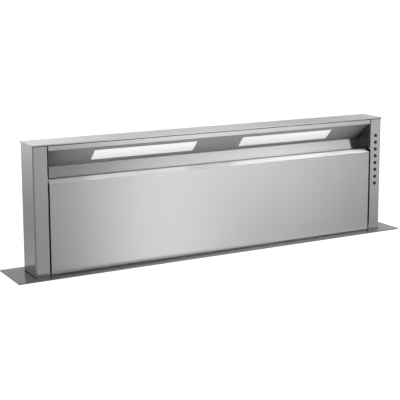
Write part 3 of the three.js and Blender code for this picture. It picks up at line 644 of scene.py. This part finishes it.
# --- feet: slotted cross bracket, levelling studs with lock nuts, swivel pads
for side, s in SIDES:
    b = Build()
    xa, xb = (500, 540) if s > 0 else (-540, -500)
    out = []
    for cx, cy, a0 in ((xb - 8, -45.5, -90), (xb - 8, 138.5, 0), (xa + 8, 138.5, 90), (xa + 8, -45.5, 180)):
        out += [(cx + 8 * math.cos(math.radians(a0 + 15 * k)), cy + 8 * math.sin(math.radians(a0 + 15 * k))) for k in range(7)]
    b.rings([[(x, y, z) for x, y in out] for z in (-583.3, -580.3)])
    b.piece(f"foot_bracket_{side}", "housing", "dark_enamel", replaces=(f"foot_{side}",), bevel=0.4)
    studs, pads = Build(), Build()
    for y in (-37.5, 130.5):
        studs.thread((s * 520, y, -594.2), (0, 0, 1), 18.6, 5.0, 0.55, 1.5, step=0.3, n=28)
        studs.hexnut((s * 520, y, -588.2), (0, 0, 1), 9.2, 4.8)
        studs.hexnut((s * 520, y, -580.3), (0, 0, 1), 9.2, 4.0)
        pads.turned((s * 520, y, 0), (0, 0, 1), [(-600, 14.2), (-599.4, 15), (-597.2, 15), (-596.2, 14.4), (-595.2, 12), (-594.2, 8.6), (-592.6, 7.4), (-591.4, 6.8), (-591.4, 4.6)], 48)
    studs.piece(f"foot_studs_{side}", "housing", "bright_steel")
    pads.piece(f"foot_pads_{side}", "housing", "black_plastic")

# --- worktop clamps: pressed angle, thumb screw with swivel plate
for side, s in SIDES:
    b = Build()
    prof = [(574.3, -120), (576.3, -120), (576.3, -67), (576.8, -65.2), (578.3, -64), (599, -64), (599, -62), (577.4, -62), (575.2, -63), (574.3, -65)]
    b.rings([[(s * x, y, z) for x, z in prof] for y in (30.8, 63.2)])
    b.rings([[(s * x, y, z) for x, z in ((578.2, -64.2), (576.1, -80), (576.1, -84), (590, -64.2))] for y in (60.4, 62.4)])
    b.rings([[(s * x, y, z) for x, z in ((578.2, -64.2), (576.1, -80), (576.1, -84), (590, -64.2))] for y in (31.6, 33.6)])
    for z in (-112, -92):
        b.head((s * 576.3, 47, z), (s, 0, 0), 3.4, 2.0)
    b.piece(f"clamp_angle_{side}", "housing", "galvanised_steel", replaces=(f"worktop_clamp_{side}",))
    b = Build()
    b.thread((s * 588, 47, -84), (0, 0, 1), 40.5, 3.0, 0.4, 1.0, step=0.25, n=20)
    b.hexnut((s * 588, 47, -62), (0, 0, 1), 5.8, 4.2)
    b.hexnut((s * 588, 47, -84.5), (0, 0, 1), 5.2, 4.0)
    b.turned((s * 588, 47, 0), (0, 0, 1), [(-46, 3.4), (-45.2, 7.2), (-44.8, 8), (-42.6, 8), (-42, 7.4)], 32)
    b.piece(f"clamp_screw_{side}", "housing", "bright_steel")

# ------------------------------------------------------------------ stage
def plane(name, x0, x1, y0, y1, z, mat, hole=None):
    me = bpy.data.meshes.new(name)
    if hole:
        a0, a1, b0, b1 = hole
        xs, ys = (x0, a0, a1, x1), (y0, b0, b1, y1)
        vs = [(x, y, z) for y in ys for x in xs]
        fs = [(j * 4 + i, j * 4 + i + 1, j * 4 + i + 5, j * 4 + i + 4) for j in range(3) for i in range(3) if (i, j) != (1, 1)]
    else:
        vs = [(x0, y0, z), (x1, y0, z), (x1, y1, z), (x0, y1, z)]
        fs = [(0, 1, 2, 3)]
    me.from_pydata(vs, [], fs)
    o = bpy.data.objects.new(name, me)
    me.materials.append(mat)
    bpy.context.scene.collection.objects.link(o)
    return o


def stage_material(name, emit, diff):
    mat = bpy.data.materials.new(name)
    mat.use_nodes = True
    t = Tree(mat.node_tree)
    out = t.n("ShaderNodeOutputMaterial")
    em = t.n("ShaderNodeEmission", {"Color": (1, 1, 1, 1), "Strength": emit})
    df = t.n("ShaderNodeBsdfDiffuse", {"Color": (diff, diff, diff, 1)})
    ad = t.n("ShaderNodeAddShader")
    t.link(em.outputs[0], ad.inputs[0])
    t.link(df.outputs[0], ad.inputs[1])
    t.link(ad.outputs[0], out.inputs[0])
    return mat


floor = plane("stage_floor", -30, 30, -30, 60, 0.0, stage_material("floor", 0.85, 0.5))
top = plane("stage_worktop", -0.86, 0.80, -1.10, 0.20, TZ - 0.0002, stage_material("worktop", 0.9, 0.5), (-0.582, 0.582, -0.060, 0.060))
sol = top.modifiers.new("thick", "SOLIDIFY")
sol.thickness = 0.03
sol.offset = -1
for o in (floor, top):
    o.visible_glossy = False
    o.visible_shadow = False

# ------------------------------------------------------------------ light
# A soft studio: broad glows on a dim surround. Each is (azimuth, elevation, width, height, strength) in degrees,
# azimuth 0 towards the cook's side and growing to the right.
# A glow with no width runs all the way round.
GLOWS = [
    (0, -60, None, 20, 0.45), (0, -36, None, 10, 0.35), (0, 27, None, 8, 0.25), (0, 46, None, 14, 0.3), (0, 76, None, 22, 0.35),
    (60, 2, 85, 4, 1.8), (60, -9, 85, 3, 0.56), (27, -18, 3.5, 6, 2.25), (27, 2, 3.5, 7, 1.2), (33, 2, 4, 7, 1.5), (33, -9, 4, 5, 0.6),
    (136, 18, 8, 8, 1.2), (149, 18, 5, 8, 1.1), (162, 8, 8, 5, 2.7),                                   # behind, over the top plate
    (74, 44, 14, 11, 7.5), (45, 47, 10, 9, 2.5), (105, 4, 22, 26, 1.4),                                # on the right
    (-61, -12, 40, 14, 0.2), (-150, -4, 25, 4, 2.0), (-150, -10, 25, 4, 0.35), (-150, -20, 25, 5.5, 0.85),
    (-48, -28, 30, 12, 0.5), (135, -18, 30, 12, 0.8), (-135, 25, 30, 12, 0.7), (45, 24, 25, 6, 0.6),   # round about
]


def build_world(glows, surround_up=0.0, surround_down=0.0, seen=1.0):
    world = bpy.data.worlds.new("studio")
    bpy.context.scene.world = world
    world.use_nodes = True
    t = Tree(world.node_tree)
    out = t.n("ShaderNodeOutputWorld")
    tc = t.n("ShaderNodeTexCoord")
    sep = t.n("ShaderNodeSeparateXYZ", {"Vector": tc.outputs["Generated"]})
    dx, dy, dz = sep.outputs
    elev = t.math("MULTIPLY", t.math("ARCSINE", dz), 180 / math.pi)
    azim = t.math("MULTIPLY", t.math("ARCTAN2", dx, t.math("MULTIPLY", dy, -1.0)), 180 / math.pi)
    total = t.math("MULTIPLY_ADD", t.math("MULTIPLY_ADD", elev, 1 / 12, 0.5, clamp=True), surround_up - surround_down, surround_down)
    for a0, e0, wa, we, k in glows:
        de = t.math("DIVIDE", t.math("SUBTRACT", elev, float(e0)), float(we))
        q = t.math("MULTIPLY", de, de)
        if wa:
            da = t.math("SUBTRACT", azim, float(a0))
            if abs(a0) > 90:                                   # wrap round the back
                da = t.math("WRAP", da, -180.0, 180.0)
            da = t.math("DIVIDE", da, float(wa))
            q = t.math("MULTIPLY_ADD", da, da, q)
        g = t.math("EXPONENT", t.math("MULTIPLY", q, -1.0))
        total = t.math("MULTIPLY_ADD", g, float(k), total)
    env = t.n("ShaderNodeBackground", {"Strength": 1.0})
    cmb = t.n("ShaderNodeCombineColor", {"Red": t.math("MULTIPLY", total, 0.992), "Green": total, "Blue": total})
    t.link(cmb.outputs[0], env.inputs["Color"])
    white = t.n("ShaderNodeBackground", {"Color": (1, 1, 1, 1), "Strength": seen})
    lp = t.n("ShaderNodeLightPath")
    mx = t.n("ShaderNodeMixShader", {"Fac": lp.outputs["Is Camera Ray"]})
    t.link(env.outputs[0], mx.inputs[1])
    t.link(white.outputs[0], mx.inputs[2])
    t.link(mx.outputs[0], out.inputs[0])
    return world


build_world(GLOWS)
